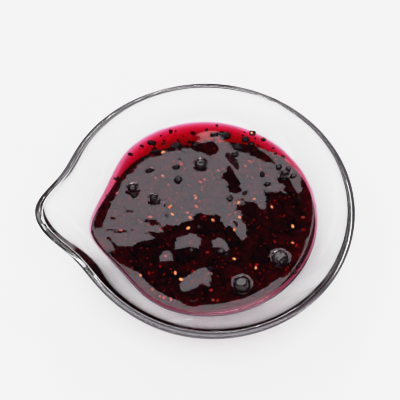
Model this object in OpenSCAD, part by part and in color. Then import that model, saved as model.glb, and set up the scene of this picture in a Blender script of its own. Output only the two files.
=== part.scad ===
// Small clear glass pouring bowl with one drawn spout, part filled with dark berry jam.
// Millimetres. +Z is up, the spout points along -X, the origin is the middle of the foot's underside.

/* [Bowl] */
// Outer diameter over the lip, on the side away from the spout
rim_d = 109; // [80:1:160]
// Thickness of the rounded lip
lip_d = 2.4; // [1.6:0.1:3.6]
// Depth of the inside, from the middle of the lip's section to the inner floor
bowl_depth = 21; // [15:0.5:34]
// Shape of the inside: 2 is a parabola, more is a flatter floor with a steeper wall
bowl_curve = 2.3; // [1.8:0.1:3]
// Glass thickness at the middle of the floor
base_t = 4.8; // [4:0.1:7]
// Thickness of the wall below its taper to the lip
wall_t = 4.6; // [3:0.1:5]
// How suddenly the wall thins towards the lip
taper_curve = 2.6; // [1.6:0.1:4]

/* [Foot] */
// Diameter of the flat foot
foot_d = 44; // [34:1:52]
// Height of the foot's straight side
foot_h = 1.8; // [1:0.1:2.4]
// Bevel round the foot's lower edge
foot_bevel = 0.5; // [0.2:0.1:0.8]

/* [Spout] */
// How far the lip is drawn out at the tip
spout_reach = 9.7; // [5:0.1:13]
// Half width of the drawn tip, degrees round the bowl
spout_half = 14.3; // [10:0.1:20]
// Rise of the lip over the whole spout side
spout_rise = 7.1; // [2:0.1:9]
// Spread of that rise, degrees round the bowl
rise_spread = 46.5; // [30:0.5:60]
// Further rise of the tip alone
tip_rise = 2.2; // [0:0.1:3]
// How far the lip is drawn in over the spout side
side_in = 2.4; // [0:0.1:4]
// Spread of the drawn-in side, degrees round the bowl
side_spread = 82; // [60:1:100]

/* [Cheeks] */
// How far the wall is pressed in beside the spout at the height of the jam
cheek_in = 2.5; // [0:0.1:4]
// Where each cheek lies, degrees from the spout
cheek_at = 29; // [24:1:36]
// Spread of each cheek, degrees round the bowl
cheek_spread = 20; // [14:1:26]

/* [Jam] */
// Distance from the middle of the lip's section down to the jam's edge
fill_drop = 8.7; // [6:0.1:12]
// Height that the jam's edge clings up the glass
cling_h = 0.7; // [0.2:0.1:1.2]
// Width of the clinging edge
cling_w = 3; // [1.5:0.1:5]
// Height of the uneven waves in the jam's surface
wave_h = 0.35; // [0:0.05:0.6]
// Length of the waves
wave_l = 19; // [12:1:30]

/* [Fruit] */
// Diameter of the whole berry beside the near wall
near_d = 7; // [5:0.1:7.6]
// Diameter of the whole berry beside the right wall
right_d = 6.6; // [5:0.1:7.4]
// Diameter of the berry behind the middle
back_d = 5.2; // [3:0.1:6]
// Diameter of the smaller berry towards the spout
left_d = 4; // [2.4:0.1:5]
// Diameter of the berry between that one and the middle
mid_d = 3.6; // [2.4:0.1:4.4]
// Diameter of the berry by the right-hand edge
edge_d = 3.6; // [2.4:0.1:4]
// Share of a berry's height that stands above the jam
fruit_out = 0.4; // [0.36:0.02:0.6]

/* [Hidden] */

SECTORS = 72;
DENSER = 30;
WALL_RINGS = 9;
TAPER_RINGS = 8;
LIP_RINGS = 7;
COVE_RINGS = 3;
TOP_RINGS = 9;

rim_r = rim_d / 2;
in_r = rim_r - lip_d;
lip_z = base_t + bowl_depth;
edge_z = lip_z - fill_drop;
jam_z = edge_z - cling_h;
edge_u = pow((edge_z - base_t) / bowl_depth, 1 / bowl_curve);
foot_r = foot_d / 2;

// Where the taper of the wall starts and where the foot's cove leaves the wall, as shares of the inner radius
taper_u = 0.75;
cove_u = (foot_r + 1.6) / in_r;
// Where the spout starts to draw the wall outwards, as a share of the inner radius
root_u = 0.45;

// The places of the berries, as shares of the jam's radius and degrees round the bowl
near_at = [0.76, -76];
right_at = [0.78, -44];
back_at = [0.54, 85];
left_at = [0.72, 148];
mid_at = [0.5, 151];
edge_at = [0.82, 20];

function mix(a, b, t) = a + (b - a) * t;
function share(x, a, b) = max(0, min(1, (x - a) / (b - a)));
function bell(x, w) = exp(-pow(x / w, 2));

// Sector directions, degrees from the spout, closer together near it
function turn(k) = 360 * k / SECTORS - DENSER * sin(360 * k / SECTORS);
function off_axis(a) = a > 180 ? a - 360 : a;

// Inside and outside of the round bowl, before the spout is drawn
function inner_z(u) = base_t + bowl_depth * pow(u, bowl_curve);
function slope(u) = atan(bowl_curve * bowl_depth / in_r * pow(u, bowl_curve - 1));
function thick(u) = wall_t - (wall_t - lip_d) * pow(share(u, taper_u, 1), taper_curve);
function outer_r(u) = in_r * u + thick(u) * sin(slope(u));
function outer_z(u) = inner_z(u) - thick(u) * cos(slope(u));

// The spout: how much wider and how much higher the bowl is at one share u of its radius
function spout_share(u) = pow(share(u, root_u, 1), 2.4);
function rise_share(u) = pow(share(u, edge_u, 1), 1.6);
function cheeks(a) = bell(abs(a) - cheek_at, cheek_spread);
function drawn_in(a, u) =
    mix(cheek_in * cheeks(a) * share(u, 0.2, edge_u) / edge_u, side_in * bell(a, side_spread), rise_share(u));
function widen(a, u) =
    1 + (spout_reach * spout_share(u) * exp(-pow(abs(a) / spout_half, 2.07)) - drawn_in(a, u)) / rim_r;
function lift(a, u) = rise_share(u) * (spout_rise * bell(a, rise_spread) + tip_rise * bell(a, spout_half * 0.6));

// One point of the wall, from its round radius r, round height z and share u
function wall_point(r, z, u, a) =
    let (b = off_axis(a), w = r * widen(b, u))
    [-w * cos(a), -w * sin(a), z + lift(b, u)];

// Section of the glass from the inner floor over the lip to the foot, as [radius, height, share]
inner_path = concat(
    [for (i = [1 : WALL_RINGS]) let (u = edge_u * i / WALL_RINGS) [in_r * u, inner_z(u), u]],
    [for (i = [1 : TAPER_RINGS]) let (u = mix(edge_u, 1, i / TAPER_RINGS)) [in_r * u, inner_z(u), u]]
);
lip_mid = [(in_r + outer_r(1)) / 2, (inner_z(1) + outer_z(1)) / 2];
lip_path = [for (i = [1 : LIP_RINGS]) let (g = 90 + slope(1) - 180 * i / (LIP_RINGS + 1))
    [lip_mid[0] + lip_d / 2 * cos(g), lip_mid[1] + lip_d / 2 * sin(g), 1]];
outer_path = concat(
    [for (i = [TAPER_RINGS : -1 : 0]) let (u = mix(edge_u, 1, i / TAPER_RINGS)) [outer_r(u), outer_z(u), u]],
    [for (i = [5 : -1 : 0]) let (u = mix(cove_u, edge_u, i / 6)) [outer_r(u), outer_z(u), u]]
);
cove_from = [outer_r(cove_u), outer_z(cove_u)];
cove_turn = [foot_r, cove_from[1] - (cove_from[0] - foot_r) * tan(slope(cove_u))];
foot_path = concat(
    [for (i = [1 : COVE_RINGS]) let (t = i / COVE_RINGS)
        [mix(mix(cove_from[0], cove_turn[0], t), foot_r, t),
         mix(mix(cove_from[1], cove_turn[1], t), mix(cove_turn[1], foot_h, t), t), 0]],
    [[foot_r, foot_bevel, 0], [foot_r - 2 * foot_bevel, -foot_bevel, 0]]
);
glass_path = concat(inner_path, lip_path, outer_path, foot_path);

// A closed skin round the Z axis from rings of points, with one point at each end of the axis
module skin(rings, first, last) {
    n = SECTORS;
    m = len(rings);
    points = concat([first], [for (ring = rings) each ring], [last]);
    faces = concat(
        [for (k = [0 : n - 1]) [0, 1 + (k + 1) % n, 1 + k]],
        [for (i = [0 : m - 2], k = [0 : n - 1])
            let (a = 1 + i * n + k, b = 1 + i * n + (k + 1) % n)
            each [[a, b, b + n], [a, b + n, a + n]]],
        [for (k = [0 : n - 1]) let (s = 1 + (m - 1) * n) [m * n + 1, s + k, s + (k + 1) % n]]
    );
    polyhedron(points = points, faces = faces);
}

function ring_of(r, z, u) = [for (k = [0 : SECTORS - 1]) wall_point(r, z, u, turn(k))];

// Height of the jam's surface: level and slightly wavy inside, clinging at the edge
function wave(x, y) =
    wave_h * (sin(360 * (x + 0.4 * y) / wave_l) * cos(300 * y / wave_l) + 0.5 * sin(360 * (y - 0.3 * x) / wave_l + 70));
function edge_r(a) = in_r * edge_u * widen(off_axis(a), edge_u);
function top_z(x, y, gap) =
    jam_z + cling_h * pow(1 - share(gap, 0, cling_w), 2) + wave(x, y) * share(gap, 0, 2 * cling_w);
function top_point(f, a) =
    let (r = f * edge_r(a), x = -r * cos(a), y = -r * sin(a))
    [x, y, top_z(x, y, edge_r(a) - r)];
// Shares of the jam's radius where its surface has rings, closer together at the clinging edge
function top_share(i) = 1 - pow(i / TOP_RINGS, 1.6);

module jam_body() {
    rings = concat(
        [for (i = [TOP_RINGS - 1 : -1 : 1]) [for (k = [0 : SECTORS - 1]) top_point(top_share(i), turn(k))]],
        [for (i = [WALL_RINGS : -1 : 1]) let (u = edge_u * i / WALL_RINGS) ring_of(in_r * u, inner_z(u), u)]
    );
    skin(rings, [0, 0, top_z(0, 0, edge_r(0))], [0, 0, base_t]);
}

// Height of a berry's middle, and its clearance to the glass at share f of the jam's radius, a degrees from the spout
function berry_z(d) = jam_z + d * (fruit_out - 0.5);
function clearance(f, d, a) =
    min([for (u = [0 : 0.02 : 1]) norm([in_r * (u * widen(a, u) - f * edge_u), inner_z(u) - berry_z(d)])]) - d / 2;
// A berry lies at its own place, or further in where the bowl is too shallow or the berry too large for it
function settled(f, d, a) = f < 0.02 || clearance(f, d, a) >= 0.15 ? f : settled(f - 0.01, d, a);

module berry(d, at) {
    r = settled(at[0], d, 180 - abs(at[1])) * in_r * edge_u;
    translate([r * cos(at[1]), r * sin(at[1]), berry_z(d)]) sphere(d = d, $fn = 48);
}

module bowl() {
    color([0.93, 0.95, 0.95, 0.35])
    difference() {
        skin([for (p = glass_path) ring_of(p[0], p[1], p[2])], [0, 0, base_t], [0, 0, -foot_bevel]);
        // The foot is ground flat at height 0
        translate([-foot_d, -foot_d, -2 * foot_d]) cube(2 * foot_d);
    }
}

module jam() {
    color([0.28, 0.01, 0.07])
    difference() {
        jam_body();
        berry(near_d, near_at);
        berry(right_d, right_at);
        berry(back_d, back_at);
        berry(left_d, left_at);
        berry(mid_d, mid_at);
        berry(edge_d, edge_at);
    }
}

module fruit_near() {
    color([0.1, 0.01, 0.03]) berry(near_d, near_at);
}

module fruit_right() {
    color([0.1, 0.01, 0.03]) berry(right_d, right_at);
}

module fruit_back() {
    color([0.1, 0.01, 0.03]) berry(back_d, back_at);
}

module fruit_left() {
    color([0.1, 0.01, 0.03]) berry(left_d, left_at);
}

module fruit_mid() {
    color([0.1, 0.01, 0.03]) berry(mid_d, mid_at);
}

module fruit_edge() {
    color([0.1, 0.01, 0.03]) berry(edge_d, edge_at);
}

bowl();
jam();
fruit_near();
fruit_right();
fruit_back();
fruit_left();
fruit_mid();
fruit_edge();
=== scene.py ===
import math
import random

import bmesh
import bpy
import numpy as np
from mathutils import Matrix, Vector


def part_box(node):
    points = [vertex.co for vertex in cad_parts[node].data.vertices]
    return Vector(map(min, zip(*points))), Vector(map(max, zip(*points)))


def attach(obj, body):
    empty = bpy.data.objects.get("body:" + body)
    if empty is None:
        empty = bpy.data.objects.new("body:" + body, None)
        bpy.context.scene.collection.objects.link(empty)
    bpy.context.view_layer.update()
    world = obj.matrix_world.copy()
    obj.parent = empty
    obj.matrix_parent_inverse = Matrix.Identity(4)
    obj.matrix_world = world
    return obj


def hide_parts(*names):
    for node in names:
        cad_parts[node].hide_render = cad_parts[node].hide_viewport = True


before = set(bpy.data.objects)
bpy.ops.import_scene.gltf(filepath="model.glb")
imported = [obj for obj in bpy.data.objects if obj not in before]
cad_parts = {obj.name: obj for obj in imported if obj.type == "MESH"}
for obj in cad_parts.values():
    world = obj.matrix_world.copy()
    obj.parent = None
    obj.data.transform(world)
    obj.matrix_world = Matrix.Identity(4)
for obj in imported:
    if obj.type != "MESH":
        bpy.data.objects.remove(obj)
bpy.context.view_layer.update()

MM = 0.001
# a full turn in radians, for chance directions
TURN = 6.28

# ---- sizes of the bowl in millimetres and degrees, as in the construction
RIM_R, LIP_D, DEPTH, CURVE = 54.5, 2.4, 21.0, 2.3
BASE_T, WALL_T = 4.8, 4.6
# the foot, and how far out the cove, a curve, leads into it from the wall
FOOT_R, FOOT_H, BEVEL, COVE = 22.0, 1.8, 0.5, 1.6
# the spout: reach, half width, rise and its spread, the tip's own rise, the side drawn in and its spread
REACH, HALF, RISE, RISE_SPREAD, TIP_RISE, SIDE_IN, SIDE_SPREAD = 9.7, 14.3, 7.1, 46.5, 2.2, 2.4, 82.0
# the cheeks pressed in beside the spout: depth, place and spread
CHEEK_IN, CHEEK_AT, CHEEK_SPREAD = 2.5, 29.0, 20.0
# the jam: how far its edge lies below the lip, and how high it clings to the glass
FILL_DROP, CLING_H = 8.7, 0.7
# only in this model: the lip's squareness, its half height and its turn (radians) from the wall,
# and how far the jam reaches into the glass, so that no air gap shows
LIP_SQUARE, LIP_TOP, LIP_TURN = 3.0, 0.9, 0.5
INTO_GLASS = 0.12
# worked out: inner radius and height of the lip, height of the jam's edge and of its middle,
# and the edge's share of the way from the middle to the lip
IN_R = RIM_R - LIP_D
LIP_Z = BASE_T + DEPTH
EDGE_Z = LIP_Z - FILL_DROP
JAM_Z = EDGE_Z - CLING_H
EDGE_U = ((EDGE_Z - BASE_T) / DEPTH) ** (1 / CURVE)


def share(x, a, b):
    """How far x has come from a to b, from 0 to 1."""
    return np.clip((x - a) / (b - a), 0.0, 1.0)


def bell(x, w):
    """A smooth hump of height 1 and half width w."""
    return np.exp(-((x / w) ** 2))


def inner_z(u):
    """Height of the inner wall at the share u of the way from the middle to the lip."""
    return BASE_T + DEPTH * u ** CURVE


def slope(u):
    """The inner wall's slope, in radians."""
    return np.arctan(CURVE * DEPTH / IN_R * u ** (CURVE - 1))


def thick(u):
    """The wall's thickness: even below, thinner in the upper quarter, thinnest right under the lip."""
    return WALL_T - 1.4 * share(u, 0.75, 1.0) ** 2.4 - 0.9 * share(u, 0.93, 1.0) ** 3


def outer_r(u):
    """Radius of the outer wall, square across from the inner wall at u."""
    return IN_R * u + thick(u) * np.sin(slope(u))


def outer_z(u):
    """Height of the outer wall, square across from the inner wall at u."""
    return inner_z(u) - thick(u) * np.cos(slope(u))


def rise_share(u):
    """Share of the spout's rise that the wall has at u: none at the jam's edge, all at the lip."""
    return share(u, EDGE_U, 1.0) ** 1.6


def drawn_in(a, u):
    """How far the wall is pressed in: by the cheeks below and by the spout side above."""
    t = rise_share(u)
    cheek = CHEEK_IN * bell(np.abs(a) - CHEEK_AT, CHEEK_SPREAD) * share(u, 0.2, EDGE_U) / EDGE_U
    return cheek * (1 - t) + SIDE_IN * bell(a, SIDE_SPREAD) * t


def widen(a, u):
    """How much wider than a round bowl the wall is in the direction a."""
    tip = np.exp(-((np.abs(a) / HALF) ** 2.07))
    return 1 + (REACH * share(u, 0.45, 1.0) ** 2.4 * tip - drawn_in(a, u)) / RIM_R


def lift(a, u):
    """How much higher than a level bowl the wall is in the direction a."""
    return rise_share(u) * (RISE * bell(a, RISE_SPREAD) + TIP_RISE * bell(a, HALF * 0.6))


def wall_ring(r, z, u, a):
    """One ring of wall points for directions a, in degrees from the spout (-X)."""
    u = np.full_like(a, u)
    w = r * widen(a, u)
    return np.stack([-w * np.cos(np.radians(a)), -w * np.sin(np.radians(a)), z + lift(a, u)], 1)


# ---- mesh helpers
def make_piece(name, verts, faces, sharp=()):
    """A smooth mesh in millimetres. An edge between two of the points in sharp stays crisp."""
    me = bpy.data.meshes.new(name)
    me.from_pydata([tuple(v) for v in np.asarray(verts, float) * MM], [], faces)
    me.validate()
    me.update()
    me.polygons.foreach_set("use_smooth", [True] * len(me.polygons))
    sharp = set(sharp)
    if sharp:
        for e in me.edges:
            if e.vertices[0] in sharp and e.vertices[1] in sharp:
                e.use_edge_sharp = True
    ob = bpy.data.objects.new(name, me)
    bpy.context.scene.collection.objects.link(ob)
    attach(ob, "root")
    return ob


def ring_faces(first, second, n):
    """The faces between two closed rings of n points, given their first points."""
    return [(first + k, first + (k + 1) % n, second + (k + 1) % n, second + k) for k in range(n)]


# ---- the glass bowl
def glass_bowl():
    """The bowl as rings of points: up the inside, over the lip, down the outside and across the foot."""
    n = 360
    t = np.arange(n) / n * 360.0
    # the directions stand closer together towards the spout
    a = t - 30.0 * np.sin(np.radians(t))
    a = np.where(a > 180, a - 360, a)
    path = []
    for u in np.linspace(0.03, EDGE_U, 36):
        path.append((IN_R * u, inner_z(u), u))
    for u in np.linspace(EDGE_U, 1.0, 30)[1:]:
        path.append((IN_R * u, inner_z(u), u))
    # the lip: a fire-polished edge, flatter on top than a half round
    mid = ((IN_R + outer_r(1.0)) / 2, (inner_z(1.0) + outer_z(1.0)) / 2)
    tilt = slope(1.0) + LIP_TURN
    for i in range(1, 32):
        g = math.pi * i / 32
        across = LIP_D / 2 * math.copysign(abs(math.cos(g)) ** (2 / LIP_SQUARE), math.cos(g))
        along = LIP_TOP * math.sin(g) ** (2 / LIP_SQUARE)
        path.append((mid[0] - across * math.sin(tilt) + along * math.cos(tilt),
                     mid[1] + across * math.cos(tilt) + along * math.sin(tilt), 1.0))
    # the outside runs down to the cove
    cove_u = (FOOT_R + COVE) / IN_R
    for u in np.linspace(1.0, cove_u, 56):
        path.append((outer_r(u), outer_z(u), u))
    r0, z0 = outer_r(cove_u), outer_z(cove_u)
    turn = (FOOT_R, z0 - (r0 - FOOT_R) * math.tan(slope(cove_u)))
    for i in range(1, 9):
        s = i / 8
        r = (1 - s) ** 2 * r0 + 2 * s * (1 - s) * turn[0] + s * s * FOOT_R
        z = (1 - s) ** 2 * z0 + 2 * s * (1 - s) * turn[1] + s * s * FOOT_H
        path.append((r, z, 0.0))
    for i in range(0, 7):
        g = math.pi / 2 * i / 6
        path.append((FOOT_R - BEVEL * (1 - math.cos(g)), BEVEL * (1 - math.sin(g)), 0.0))
    path.append((FOOT_R * 0.5, 0.0, 0.0))
    rings = [wall_ring(r, z, u, a) for r, z, u in path]
    verts = np.concatenate([np.array([[0, 0, BASE_T]])] + rings + [np.array([[0, 0, 0.0]])])
    m = len(path)
    faces = [(0, 1 + k, 1 + (k + 1) % n) for k in range(n)]
    for i in range(m - 1):
        faces += [f[::-1] for f in ring_faces(1 + i * n, 1 + (i + 1) * n, n)]
    last = 1 + (m - 1) * n
    faces += [(m * n + 1, last + (k + 1) % n, last + k) for k in range(n)]
    return make_piece("glass_bowl", verts, faces)


# ---- the jam's surface
# the whole berries' middles and radii in millimetres
FRUIT = ["fruit_near", "fruit_right", "fruit_back", "fruit_left", "fruit_mid", "fruit_edge"]
BERRIES = []
for node in FRUIT:
    lo, hi = (np.array(c, float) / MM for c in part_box(node))
    BERRIES.append(((lo + hi) / 2, float(hi[0] - lo[0]) / 2))


def edge_r(a):
    """Radius of the jam's edge in the direction a, in degrees from the spout."""
    return IN_R * EDGE_U * widen(a, np.full_like(a, EDGE_U))


# lumps in the jam: x, y, height, half length, half width (mm), turn (degrees)
LUMPS = [
    (0, 1, 0.90, 48, 19, 15),
    (-29, -9.5, 0.30, 10, 5, 0),
    (-10, -3.5, 0.20, 4.5, 3.5, 20),
    (-0.5, 1.5, 0.15, 4, 4, 0),
    (8.5, -8.5, 0.90, 2.8, 6, 10),
    (2.6, -16, 0.60, 3.2, 4.2, 0),
    (12.5, 19.5, 1.10, 3.0, 7, 12),
    (19, 1.5, 0.40, 2.4, 4, 0),
    (-9.4, -13.6, 0.75, 4.8, 4.0, 25),
    (-17.5, -17.5, 0.55, 3, 3.2, 0),
    (-10, -30.6, 0.85, 4.4, 4.2, 15),
    (-6.2, -26.6, 0.50, 3.4, 4, -10),
    (7.5, 31, 0.45, 4.5, 4, 0),
    (24, 38, 0.70, 10, 7, -30),
    (33, 6, 0.40, 7, 9, -20),
]
# fine waves over the whole surface, in chance directions: wave length, height (mm) and how many
WAVES = []
pick = random.Random(11)
for length, height, count in ((9.0, 0.007, 6), (4.6, 0.0028, 9), (2.4, 0.0012, 9)):
    for _ in range(count):
        g = pick.uniform(0, 2 * math.pi)
        k = 2 * math.pi / (length * pick.uniform(0.8, 1.25))
        WAVES.append((k * math.cos(g), k * math.sin(g), pick.uniform(0, TURN), height))


def lumps(x, y):
    """Height that the lumps and waves add."""
    z = 0.0 * x
    for cx, cy, h, a, b, turn in LUMPS:
        c, s = math.cos(math.radians(turn)), math.sin(math.radians(turn))
        p, q = (x - cx) * c + (y - cy) * s, (y - cy) * c - (x - cx) * s
        z = z + h * np.exp(-(p / a) ** 2 - (q / b) ** 2)
    for kx, ky, ph, h in WAVES:
        z = z + h * np.sin(kx * x + ky * y + ph)
    return z


def wall_height(x, y):
    """Height of the inner wall under a point of the jam."""
    a = np.degrees(np.arctan2(-y, -x))
    return inner_z(np.clip(EDGE_U * np.hypot(x, y) / edge_r(a), 0, EDGE_U))


# directions in degrees from +X: the far side, and the middle of the gentle climb
FAR_SIDE, NEAR_LEFT = 65, -130
# the steep climb up the glass: height and width, and what the far side adds to each (all in mm)
STEEP_H, STEEP_W, FAR_H, FAR_W = 0.95, 2.6, 0.15, 15.8
# the gentle climb: height and width of a broad part and of a thin edge
BROAD_H, BROAD_W, THIN_H, THIN_W = 0.75, 5, 0.2, 0.3
# how far the middle lies below the construction's level, and how much further on the far side
SINK, FAR_SINK = 0.35, 0.15
# the ring of jam that clings to each berry: height and width
RING_H, RING_W = 0.3, 0.5
# the film on the glass: least and usual depth, how much less on the gentle climb, width of its start
FILM_MIN, FILM, FILM_LESS, FILM_W = 0.02, 0.75, 0.4, 0.35


def near_left(side):
    """1 from the spout round to the near side, where the jam climbs the glass gently, 0 elsewhere."""
    return share(np.cos(np.radians(side - NEAR_LEFT)), 0.1, 0.5)


def smooth_max(p, q, k):
    """The higher of two heights, blended where they differ by less than k."""
    h = np.clip(0.5 + 0.5 * (p - q) / k, 0, 1)
    return q * (1 - h) + p * h + k * h * (1 - h) * 0.5


def top_height(x, y):
    """Height of the jam: lumpy inside, climbing the glass widely on the far side, gently from the spout
    to the near side, and steeply elsewhere. It is never lower than a thin film on the glass."""
    a = np.degrees(np.arctan2(-y, -x))
    gap = np.maximum(edge_r(a) - np.hypot(x, y), 0.0)
    side = np.degrees(np.arctan2(y, x))
    far = bell(side - FAR_SIDE, 65)
    gentle = near_left(side)
    steep_climb = (STEEP_H + FAR_H * far) * (1 - share(gap, 0, STEEP_W + FAR_W * far)) ** 2
    gentle_climb = BROAD_H * (1 - share(gap, 0, BROAD_W)) + THIN_H * np.exp(-gap / THIN_W)
    climb = steep_climb * (1 - gentle) + gentle_climb * gentle
    z = JAM_Z - SINK - FAR_SINK * far + climb + lumps(x, y) * share(gap, 0, 6)
    for c, r in BERRIES:
        d = np.hypot(x - c[0], y - c[1])
        z = z + RING_H * np.exp(-np.maximum(d - r * 0.9, 0) / RING_W)
    film = FILM_MIN + (FILM - FILM_LESS * gentle) * (1 - far) ** 2 * (1 - np.exp(-gap / FILM_W))
    return smooth_max(z, wall_height(x, y) + film, 0.4)


def disc_grid(n):
    """A square grid laid onto the unit disc with even cells, its faces and its outer loop."""
    s = np.linspace(-1, 1, n + 1)
    gx, gy = np.meshgrid(s, s, indexing="ij")
    big = np.abs(gx) > np.abs(gy)
    r = np.where(big, gx, gy)
    with np.errstate(divide="ignore", invalid="ignore"):
        th = np.where(big, math.pi / 4 * gy / gx, math.pi / 2 - math.pi / 4 * gx / gy)
    th = np.where(r == 0, 0, th)
    idx = np.arange((n + 1) ** 2).reshape(n + 1, n + 1)
    faces = [(int(idx[i, j]), int(idx[i + 1, j]), int(idx[i + 1, j + 1]), int(idx[i, j + 1]))
             for i in range(n) for j in range(n)]
    loop = [int(v) for v in np.concatenate([idx[:-1, 0], idx[-1, :-1], idx[:0:-1, -1], idx[0, :0:-1]])]
    return r * np.cos(th), r * np.sin(th), faces, loop


def jam_body():
    """The jam: its surface, and its underside as rings that lie just inside the glass."""
    dx, dy, faces, loop = disc_grid(256)
    a = np.degrees(np.arctan2(-dy, -dx))
    er = edge_r(a)
    x, y = dx * er, dy * er
    z = top_height(x, y)
    z[[0, -1], :] = EDGE_Z
    z[:, [0, -1]] = EDGE_Z
    verts = [np.stack([x.ravel(), y.ravel(), z.ravel()], 1)]
    m = len(loop)
    start = len(verts[0])
    first_ring = list(range(start, start + m))
    edge = verts[0][loop]
    edge_a = np.degrees(np.arctan2(-edge[:, 1], -edge[:, 0]))
    prev = loop
    for u in np.linspace(EDGE_U, 0.05, 20):
        r = IN_R * u + INTO_GLASS * math.sin(slope(u))
        verts.append(wall_ring(r, inner_z(u) - INTO_GLASS * math.cos(slope(u)), u, edge_a))
        cur = list(range(start, start + m))
        faces += [(prev[k], cur[k], cur[(k + 1) % m], prev[(k + 1) % m]) for k in range(m)]
        prev = cur
        start += m
    verts.append(np.array([[0, 0, BASE_T - INTO_GLASS]]))
    faces += [(prev[k], start, prev[(k + 1) % m]) for k in range(m)]
    return make_piece("jam_body", np.concatenate(verts), faces, loop + first_ring)


bowl = glass_bowl()
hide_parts("bowl")
jam = jam_body()
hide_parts("jam")


# ---- what stands in the jam and what is sunk in it
def ball(sub):
    """Points and faces of a round ball of radius 1."""
    bm = bmesh.new()
    bmesh.ops.create_icosphere(bm, subdivisions=sub, radius=1.0)
    v = np.array([tuple(p.co) for p in bm.verts])
    f = [tuple(p.index for p in q.verts) for q in bm.faces]
    bm.free()
    return v / np.linalg.norm(v, axis=1, keepdims=True), f


def ripples(dirs, rng, reach, size):
    """Smooth unevenness over a ball, from a few waves in chance directions."""
    out = np.zeros(len(dirs))
    for _ in range(7):
        k = np.array([rng.gauss(0, 1) for _ in range(3)]) * reach
        out += np.sin(dirs @ k + rng.uniform(0, TURN))
    return 1 + size * out / 3


def drupelets(dirs, rng, count):
    """A berry of small round parts: even directions round the ball, each a raised cap."""
    i = np.arange(count) + 0.5
    lat, lon = np.arccos(1 - 2 * i / count), math.pi * (1 + 5 ** 0.5) * i
    mids = np.stack([np.cos(lon) * np.sin(lat), np.sin(lon) * np.sin(lat), np.cos(lat)], 1)
    mids += np.array([[rng.gauss(0, 0.05) for _ in range(3)] for _ in range(count)])
    mids /= np.linalg.norm(mids, axis=1, keepdims=True)
    near = np.max(dirs @ mids.T, axis=1)
    cap = np.sqrt(np.clip(1 - (np.arccos(np.clip(near, -1, 1)) / (2.15 / count ** 0.5)) ** 2, 0, 1))
    return 0.80 + 0.20 * cap


def pressed(v, tilt, toward, height):
    """A ball with one side pressed nearly flat: the side leans by tilt towards a direction, in degrees."""
    t, g = math.radians(tilt), math.radians(toward)
    n = np.array([math.sin(t) * math.cos(g), math.sin(t) * math.sin(g), math.cos(t)])
    return v - np.maximum(v @ n - height, 0)[:, None] * n * 0.97


def turned(v, rng):
    """A shape that lies nearly level, in a chance direction."""
    m = Matrix.Rotation(rng.uniform(0, TURN), 3, "Z")
    m = m @ Matrix.Rotation(rng.gauss(0, 0.25), 3, "X") @ Matrix.Rotation(rng.gauss(0, 0.25), 3, "Y")
    return v @ np.array(m).T


class Heap:
    """Many small shapes gathered into one mesh."""

    def __init__(self):
        self.verts, self.faces, self.n = [], [], 0

    def add(self, v, f):
        self.verts.append(v)
        self.faces += [tuple(i + self.n for i in q) for q in f]
        self.n += len(v)

    def piece(self, name):
        return make_piece(name, np.concatenate(self.verts), self.faces)


FINE_BALL, MIDDLE_BALL, PLAIN_BALL = ball(6), ball(5), ball(3)
# two nearly flat faces on each large berry: lean and direction in degrees, and distance from the
# middle as a share of the radius
TOP_FACE, SIDE_FACE = (4, 123, 0.76), (14, -57, 0.84)


def whole_berries(rng):
    """The six berries of the construction, uneven, the two large ones with tops that mirror the window."""
    made = []
    for (c, r), node in zip(BERRIES, FRUIT):
        large = r > 3
        v, f = FINE_BALL if large else MIDDLE_BALL
        if node == "fruit_right":
            size = drupelets(v, rng, 40) * ripples(v, rng, 1.2, 0.03)
        else:
            size = ripples(v, rng, 1.6, 0.06)
        v = v * size[:, None] / size.max()
        if large:
            v = pressed(pressed(v, *TOP_FACE), *SIDE_FACE)
        ob = make_piece(node.replace("fruit", "berry"), v * r + c, f)
        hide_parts(node)
        made.append(ob)
    return made


# small wet lumps of fruit and skin at the surface: x, y, length, width (mm), share standing out
BITS = [
    (-17.9, 22.6, 3.6, 1.8, 0.35), (-7.6, 22.4, 3.2, 2.2, 0.4), (-7.6, 16.6, 3.0, 2.8, 0.5),
    (-25.0, 12.8, 3.2, 2.4, 0.4), (-17.3, 8.2, 2.6, 2.2, 0.4), (24.2, 13.6, 2.0, 2.6, 0.4),
    (25.2, 9.0, 2.6, 2.0, 0.5), (10.0, 5.2, 2.4, 2.8, 0.4), (31.0, 15.6, 2.4, 2.0, 0.6),
    (32.6, 12.4, 3.0, 2.4, 0.6), (34.4, 14.2, 2.2, 2.0, 0.6), (35.6, 10.8, 2.4, 1.8, 0.6),
    (2.6, -16.4, 2.4, 2.2, 0.6), (4.4, -17.8, 1.6, 1.4, 0.6), (-2.4, -22.2, 2.2, 1.6, 0.5),
    (-8.0, -14.2, 1.6, 1.4, 0.5), (-5.6, 25.9, 1.2, 0.8, 0.4), (-14.3, 6.2, 1.0, 0.9, 0.4),
    (15.6, 24.2, 3.4, 2.2, 0.4), (16.0, 6.4, 2.0, 1.6, 0.4), (-3.6, -5.0, 2.0, 1.6, 0.4),
    (13.6, 33.6, 4.6, 2.8, 0.25), (17.4, 27.6, 4.6, 3.4, 0.25), (21.0, 30.4, 3.0, 2.4, 0.2),
    (-15.2, 35.0, 3.0, 2.0, 0.2), (-6.0, 32.2, 4.6, 2.8, 0.3), (1.8, 31.6, 4.4, 2.6, 0.1),
    (-14.0, 30.8, 5.0, 1.6, 0.2), (24.3, 32.8, 2.6, 2.2, 0.2), (27.9, 29.2, 2.0, 1.8, 0.2),
    (23.0, 28.0, 2.4, 2.2, 0.1), (31.0, 22.0, 1.6, 1.2, 0.2),
    (7.6, 31.4, 8.0, 5.0, -0.3), (9.6, 34.4, 4.4, 1.8, 0.3),
    (29.0, -26.8, 1.6, 1.2, 0.6), (31.0, -24.6, 1.4, 1.2, 0.6), (27.2, -29.0, 1.8, 1.2, 0.6),
]


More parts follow.
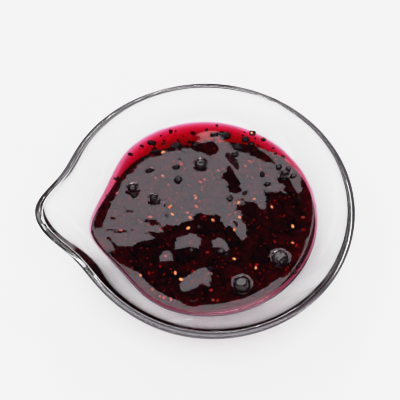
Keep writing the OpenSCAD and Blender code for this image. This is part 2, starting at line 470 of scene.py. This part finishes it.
def heights(x, y):
    """Height of the jam's surface and of the glass under it."""
    p, q = np.array([x]), np.array([y])
    return float(top_height(p, q)[0]), float(wall_height(p, q)[0])


def wet_bits(rng):
    """Small wet lumps of fruit and skin that stand out of the jam or lie just under it."""
    heap = Heap()
    for x, y, a, b, out in BITS:
        v, f = MIDDLE_BALL if a > 2.2 else PLAIN_BALL
        size = ripples(v, rng, 2.6, 0.12)
        h = 0.5 * (a + b) / 2
        top = heights(x, y)[0]
        place = np.array([x, y, top + h * (2 * out - 1)])
        heap.add(v * size[:, None] * np.array([a, b, 2 * h]) / 2 + place, f)
    return heap.piece("wet_bits")


def spot(rng, nearest, furthest, far_side=False):
    """A chance place on the jam, between two distances from its edge."""
    while True:
        x, y = rng.uniform(-45, 45), rng.uniform(-45, 45)
        a = math.degrees(math.atan2(-y, -x))
        gap = float(edge_r(np.array([a]))[0]) - math.hypot(x, y)
        if gap < nearest or gap > furthest:
            continue
        if far_side and y < 4:
            continue
        return x, y


# the seeds that show plainly lie at the surface, at these places, and the rest a little under it
SEEDS = [
    (-6, -0.6), (-7.4, -4.8), (-12.8, 5.2), (-12.4, 2.2), (9, -8.6), (12.8, 2.8), (18.8, 3.4), (24.8, -0.8),
    (30.8, -9.8), (29.4, -16.8), (7, -19.8), (13.8, -24.6), (2, -2.8), (-11.2, 30), (-27.6, -20.8),
    (-13, 19.2), (24, 32.6), (27.8, 29.4), (-2.6, 7.4), (-15.2, -22), (-13.4, -24.8), (12, -3),
]
# how many of each, how many flecks lie at the far edge, and a distance past the jam's middle
SEED_COUNT, SPECK_COUNT, FLECK_COUNT, FAR_FLECKS = 60, 420, 110, 50
ANYWHERE = 60


def seeds(rng):
    """Berry seeds, flat and narrower towards one end."""
    heap = Heap()
    for i in range(SEED_COUNT):
        if i < len(SEEDS):
            x, y = SEEDS[i]
            sunk = 0.12 if i % 3 else 0.3
        else:
            x, y = spot(rng, 2.5, ANYWHERE)
            sunk = rng.uniform(0.45, 1.5)
        top, low = heights(x, y)
        v, f = PLAIN_BALL
        length = rng.uniform(1.3, 1.8)
        v = v * np.array([length, length * 0.68, length * 0.5]) / 2 * (1 - 0.22 * v[:, :1])
        heap.add(turned(v, rng) + np.array([x, y, max(top - sunk, low + 0.4)]), f)
    return heap.piece("seeds")


def pulp_specks(rng):
    """Specks of red pulp near the surface."""
    heap = Heap()
    for _ in range(SPECK_COUNT):
        x, y = spot(rng, 1.5, ANYWHERE)
        top, low = heights(x, y)
        v, f = PLAIN_BALL
        v = v * ripples(v, rng, 2.0, 0.15)[:, None]
        v = v * np.array([rng.uniform(0.3, 1.0), rng.uniform(0.25, 0.6), 0.3]) / 2
        v = turned(v, rng)
        heap.add(v + np.array([x, y, max(top - rng.uniform(0.3, 1.5), low + 0.25)]), f)
    return heap.piece("pulp_specks")


def skin_flecks(rng):
    """Dark flecks of skin, nearly half of them in the thin jam of the far edge."""
    heap = Heap()
    for i in range(FLECK_COUNT):
        x, y = spot(rng, 1.2, 10, True) if i < FAR_FLECKS else spot(rng, 2, ANYWHERE)
        top, low = heights(x, y)
        v, f = PLAIN_BALL
        a = rng.uniform(0.5, 2.2)
        v = v * ripples(v, rng, 2.0, 0.2)[:, None] * np.array([a, a * rng.uniform(0.5, 0.9), 0.35]) / 2
        v = turned(v, rng)
        heap.add(v + np.array([x, y, max(top - rng.uniform(0.35, 1.2), low + 0.25)]), f)
    return heap.piece("skin_flecks")


def pulp_core():
    """The thick pulp in the middle of the jam, which hardly any light gets through."""
    dx, dy, faces, loop = disc_grid(120)
    a = np.degrees(np.arctan2(-dy, -dx))
    r = np.hypot(dx, dy)
    side = np.degrees(np.arctan2(dy, dx))
    # it keeps off the edge on the near and the far side, where light gets through the jam
    er = edge_r(a) - 0.25 - 2.4 * bell(side + 90, 50) - 9.0 * bell(side - 88, 50)
    x, y = dx * er, dy * er
    rough = 0.0
    rng = random.Random(9)
    for size, height in ((14, 0.7), (7, 0.45), (3.5, 0.25)):
        for _ in range(6):
            g, k = rng.uniform(0, TURN), TURN / (size * rng.uniform(0.8, 1.25))
            along = x * math.cos(g) + y * math.sin(g)
            rough = rough + height / 2 * np.sin(k * along + rng.uniform(0, TURN))
    # its top lies well down in the middle, higher towards the edge, and never above the jam's surface
    top = np.maximum(JAM_Z - 2.4 + 1.2 * r ** 8 + rough * (1 - r ** 6), wall_height(x, y) + 0.8)
    top = np.minimum(top, top_height(x, y) - 0.2 - 0.15 * bell(side, 130))
    low = np.minimum(wall_height(x, y) + 0.08, top - 0.02)
    # the underside shares the rim of the top
    rim = np.zeros(x.size, bool)
    rim[loop] = True
    above = np.stack([x.ravel(), y.ravel(), top.ravel()], 1)
    below = np.stack([x.ravel(), y.ravel(), low.ravel()], 1)
    faces = faces + [tuple(i if rim[i] else i + x.size for i in f[::-1]) for f in faces]
    return make_piece("pulp_core", np.concatenate([above, below]), faces)


rng = random.Random(5)
fruit = whole_berries(rng)
bits = wet_bits(rng)
seed_heap = seeds(rng)
specks = pulp_specks(rng)
flecks = skin_flecks(rng)
core = pulp_core()


# ---- materials
def new_material(name):
    """A new material with its node tree, its surface node and its output."""
    m = bpy.data.materials.new(name)
    m.use_nodes = True
    return m, m.node_tree, m.node_tree.nodes["Principled BSDF"], m.node_tree.nodes["Material Output"]


def set_inputs(node, **values):
    """Sets a node's sockets by name, with _ for a space."""
    for socket, value in values.items():
        node.inputs[socket.replace("_", " ")].default_value = value


def noise(nt, scale, detail, rough=0.5):
    """Procedural noise over the piece, as a value from 0 to 1."""
    tc = nt.nodes.new("ShaderNodeTexCoord")
    nz = nt.nodes.new("ShaderNodeTexNoise")
    set_inputs(nz, Scale=scale, Detail=detail, Roughness=rough)
    nt.links.new(tc.outputs["Object"], nz.inputs["Vector"])
    return nz.outputs["Fac"]


def bump(nt, b, height, strength, distance):
    """Fine relief, with the distance in metres."""
    bp = nt.nodes.new("ShaderNodeBump")
    set_inputs(bp, Strength=strength, Distance=distance)
    nt.links.new(height, bp.inputs["Height"])
    nt.links.new(bp.outputs["Normal"], b.inputs["Normal"])


def clear_glass():
    m, nt, b, out = new_material("clear_glass")
    set_inputs(b, Base_Color=(0.985, 0.99, 0.99, 1), Transmission_Weight=1.0, IOR=1.5, Roughness=0.0)
    bump(nt, b, noise(nt, 60.0, 1.0), 0.12, 0.0004)
    return m


def berry_jam():
    """Clear gel whose colour comes from its depth: magenta where thin, nearly black where deep."""
    m, nt, b, out = new_material("berry_jam")
    set_inputs(b, Base_Color=(1.0, 0.97, 0.98, 1), Transmission_Weight=1.0, IOR=1.45, Roughness=0.02,
               Specular_Tint=(1.0, 0.87, 0.96, 1))
    bump(nt, b, noise(nt, 700.0, 3.0), 0.05, 0.0001)
    depth = nt.nodes.new("ShaderNodeVolumeAbsorption")
    set_inputs(depth, Color=(0.93, 0.03, 0.43, 1), Density=3500.0)
    nt.links.new(depth.outputs["Volume"], out.inputs["Volume"])
    return m


def mottled(name, dark, light, scale, rough, coat=0.0, bumps=0.0):
    """A material whose colour drifts between two tones, with fine relief."""
    m, nt, b, out = new_material(name)
    ramp = nt.nodes.new("ShaderNodeValToRGB")
    ramp.color_ramp.elements[0].position = 0.35
    ramp.color_ramp.elements[0].color = (*dark, 1)
    ramp.color_ramp.elements[1].position = 0.68
    ramp.color_ramp.elements[1].color = (*light, 1)
    nt.links.new(noise(nt, scale, 4.0, 0.6), ramp.inputs["Fac"])
    nt.links.new(ramp.outputs["Color"], b.inputs["Base Color"])
    set_inputs(b, Roughness=rough, Specular_IOR_Level=0.05, Coat_Weight=coat, Coat_Roughness=0.02)
    if bumps:
        bump(nt, b, noise(nt, scale * 3, 3.0), 0.2, bumps)
    return m


def dark_fruit():
    """Nearly black fruit. The coat is full only on the tops that stand well clear of the jam and weak lower
    down, a painted shade that keeps the sides from mirroring the bright room.
    """
    m = mottled("dark_fruit", (0.001, 0.0003, 0.0006), (0.014, 0.001, 0.004), 600.0, 0.35, 0.2, 0.00002)
    nt = m.node_tree
    tc, sep, coat_by_height = (nt.nodes.new("ShaderNode" + kind) for kind in ("TexCoord", "SeparateXYZ", "MapRange"))
    # painted shade: the coat, and so the mirrored room, is held back below the tops
    set_inputs(coat_by_height, From_Min=(JAM_Z + 1.1) * MM, From_Max=(JAM_Z + 1.4) * MM, To_Min=0.2, To_Max=1.0)
    nt.links.new(tc.outputs["Object"], sep.inputs[0])
    nt.links.new(sep.outputs["Z"], coat_by_height.inputs["Value"])
    nt.links.new(coat_by_height.outputs["Result"], nt.nodes["Principled BSDF"].inputs["Coat Weight"])
    return m


def pale_floor():
    """Pale and matt, with a very faint painted glow all over it, which lightens the shade under the bowl.
    """
    m, nt, b, out = new_material("pale_floor")
    # the emission is a painted glow, not a lamp: it lifts the shade under the bowl
    set_inputs(b, Base_Color=(0.70, 0.70, 0.70, 1), Roughness=0.8, Specular_IOR_Level=0.1,
               Emission_Color=(0.95, 0.85, 0.97, 1), Emission_Strength=0.05)
    return m


bowl.data.materials.append(clear_glass())
jam.data.materials.append(berry_jam())
fruit_skin = dark_fruit()
for ob in fruit + [bits]:
    ob.data.materials.append(fruit_skin)
seed_skin = mottled("seed", (0.50, 0.13, 0.04), (0.74, 0.34, 0.14), 900.0, 0.35, 0.3, 0.00005)
seed_heap.data.materials.append(seed_skin)
specks.data.materials.append(mottled("red_pulp", (0.35, 0.01, 0.01), (0.80, 0.05, 0.02), 500.0, 0.5))
flecks.data.materials.append(mottled("skin", (0.012, 0.002, 0.006), (0.10, 0.010, 0.030), 700.0, 0.4))
core.data.materials.append(mottled("thick_pulp", (0.004, 0.0005, 0.001), (0.11, 0.004, 0.006), 260.0, 0.7))

# ---- floor, light and camera
FLOOR_HALF = 3.0
# the camera looks down steeply with the spout to its left; the angles are in degrees
VIEW, ELEV, ROLL = -102.23, 59.9, 2.47
# how many times the bowl's radius it stands away from the lip's middle, and its shift left and up
AWAY, SHIFT_LEFT, SHIFT_UP = 7, 0.045, 0.011
SENSOR, LENS = 36.0, 94.455


def lay_floor():
    """A plain floor under the bowl."""
    d = FLOOR_HALF
    me = bpy.data.meshes.new("floor")
    me.from_pydata([(-d, -d, 0), (d, -d, 0), (d, d, 0), (-d, d, 0)], [], [(0, 1, 2, 3)])
    floor = bpy.data.objects.new("floor", me)
    bpy.context.scene.collection.objects.link(floor)
    me.materials.append(pale_floor())


def place_camera():
    """The camera, aimed at the middle of the lip."""
    view, elev, roll = map(math.radians, (VIEW, ELEV, ROLL))
    r = RIM_R * MM
    back = Vector((math.cos(elev) * math.cos(view), math.cos(elev) * math.sin(view), math.sin(elev)))
    right = Vector((-math.sin(view), math.cos(view), 0.0))
    up = back.cross(right)
    lip_middle = Vector((0, 0, LIP_Z * MM))
    x_axis = right * math.cos(roll) + up * math.sin(roll)
    y_axis = up * math.cos(roll) - right * math.sin(roll)
    mat = Matrix((x_axis, y_axis, back)).transposed().to_4x4()
    mat.translation = lip_middle + back * (AWAY * r) - right * (SHIFT_LEFT * r) + up * (SHIFT_UP * r)
    cam = bpy.data.objects.new("camera", bpy.data.cameras.new("camera"))
    bpy.context.scene.collection.objects.link(cam)
    cam.matrix_world = mat
    cam.data.sensor_width = SENSOR
    cam.data.lens = LENS
    cam.data.clip_start = 0.01
    bpy.context.scene.camera = cam


# each light: centre direction, half width, low and high edge in degrees, softness of the low and
# high edges and of the sides, and its strength
FAR_WINDOW, FAR_POWER = (105.0, 85.0, 42.0, 60.0, 0.003, 0.25), 3.7
NEAR_WINDOW, NEAR_POWER = (258.0, 75.0, 52.0, 80.0, 0.02, 0.1), 4.2
LAMP, LAMP_POWER = (85.0, 6.0, 29.0, 34.0, 0.02, 0.02), 40.0
# the room's light low down on the camera's side, low down on the far side, and everywhere
FILL = (1.0, 0.15, 0.1)
# where that light changes towards the far side, and where low down ends: place and softness
FAR_STEP, HIGH_STEP = (-0.2, 0.15), (0.75, 0.12)
# dark parts of the room lean to purple
DIM_TINT = (0.86, 0.70, 0.88, 1)


def studio_world():
    """A soft room: a window on the far side, one above the camera, a small lamp, and dim walls."""
    w = bpy.data.worlds.new("studio")
    bpy.context.scene.world = w
    w.use_nodes = True
    nt = w.node_tree
    nt.nodes.clear()

    def math_node(op, a, b=None, clamp=False):
        """A math node on numbers or sockets, as its output."""
        nd = nt.nodes.new("ShaderNodeMath")
        nd.operation = op
        nd.use_clamp = clamp
        for i, v in enumerate((a, b)):
            if v is None:
                continue
            if isinstance(v, (int, float)):
                nd.inputs[i].default_value = v
            else:
                nt.links.new(v, nd.inputs[i])
        return nd.outputs[0]

    def step(x, at, soft):
        """0 below a value and 1 above it, with a soft change."""
        return math_node("MULTIPLY", math_node("SUBTRACT", x, at - soft), 1 / (2 * soft), clamp=True)

    tc = nt.nodes.new("ShaderNodeTexCoord")
    unit = nt.nodes.new("ShaderNodeVectorMath")
    unit.operation = "NORMALIZE"
    nt.links.new(tc.outputs["Generated"], unit.inputs[0])
    sep = nt.nodes.new("ShaderNodeSeparateXYZ")
    nt.links.new(unit.outputs[0], sep.inputs[0])
    x, y, z = sep.outputs
    flat = math_node("SQRT", math_node("SUBTRACT", 1.0, math_node("MULTIPLY", z, z)))

    def along(az):
        """How far the view direction points towards a compass direction, in degrees from +X."""
        return math_node("ADD", math_node("MULTIPLY", x, math.cos(math.radians(az))),
                         math_node("MULTIPLY", y, math.sin(math.radians(az))))

    def window(az, half, lo, hi, soft, blur):
        """A bright panel: 1 inside, 0 outside."""
        turned_to = math_node("DIVIDE", along(az), math_node("MAXIMUM", flat, 1e-4))
        side = step(turned_to, math.cos(math.radians(half)), blur)
        band = math_node("SUBTRACT", step(z, math.sin(math.radians(lo)), soft),
                         step(z, math.sin(math.radians(hi)), soft))
        return math_node("MULTIPLY", side, band)

    far, near, lamp = window(*FAR_WINDOW), window(*NEAR_WINDOW), window(*LAMP)
    # the rest of the room: bright low down on the camera's side, dim on the far side and overhead
    to_far = step(along(FAR_WINDOW[0]), *FAR_STEP)
    level = math_node("ADD", math_node("MULTIPLY", to_far, FILL[1] - FILL[0]), FILL[0])
    low_down = math_node("SUBTRACT", 1.0, step(z, *HIGH_STEP))
    room = math_node("ADD", math_node("MULTIPLY", low_down, level), FILL[2])
    total = math_node("MULTIPLY", far, FAR_POWER)
    total = math_node("ADD", total, math_node("MULTIPLY", near, NEAR_POWER))
    total = math_node("ADD", total, math_node("MULTIPLY", lamp, LAMP_POWER))
    no_window = math_node("SUBTRACT", math_node("SUBTRACT", 1.0, far), near, clamp=True)
    total = math_node("ADD", total, math_node("MULTIPLY", no_window, room))
    bg = nt.nodes.new("ShaderNodeBackground")
    tint = nt.nodes.new("ShaderNodeMix")
    tint.data_type = "RGBA"
    tint.inputs["A"].default_value = DIM_TINT
    tint.inputs["B"].default_value = (1, 1, 1, 1)
    nt.links.new(step(total, 0.5, 0.4), tint.inputs["Factor"])
    nt.links.new(tint.outputs["Result"], bg.inputs["Color"])
    nt.links.new(total, bg.inputs["Strength"])
    wo = nt.nodes.new("ShaderNodeOutputWorld")
    nt.links.new(bg.outputs[0], wo.inputs["Surface"])


lay_floor()
place_camera()
studio_world()

# bright tones are rolled off softly, as in a light, airy product picture
view = bpy.context.scene.view_settings
view.view_transform = "Standard"
view.use_curve_mapping = True
view.curve_mapping.clip_max_x = 3.0
tone = view.curve_mapping.curves[3].points
tone[0].location = (0.0, 0.0)
tone[1].location = (2.4, 0.95)
for light, shown in ((0.22, 0.22), (0.5, 0.64), (0.75, 0.82), (1.1, 0.90)):
    tone.new(light, shown)
view.curve_mapping.update()
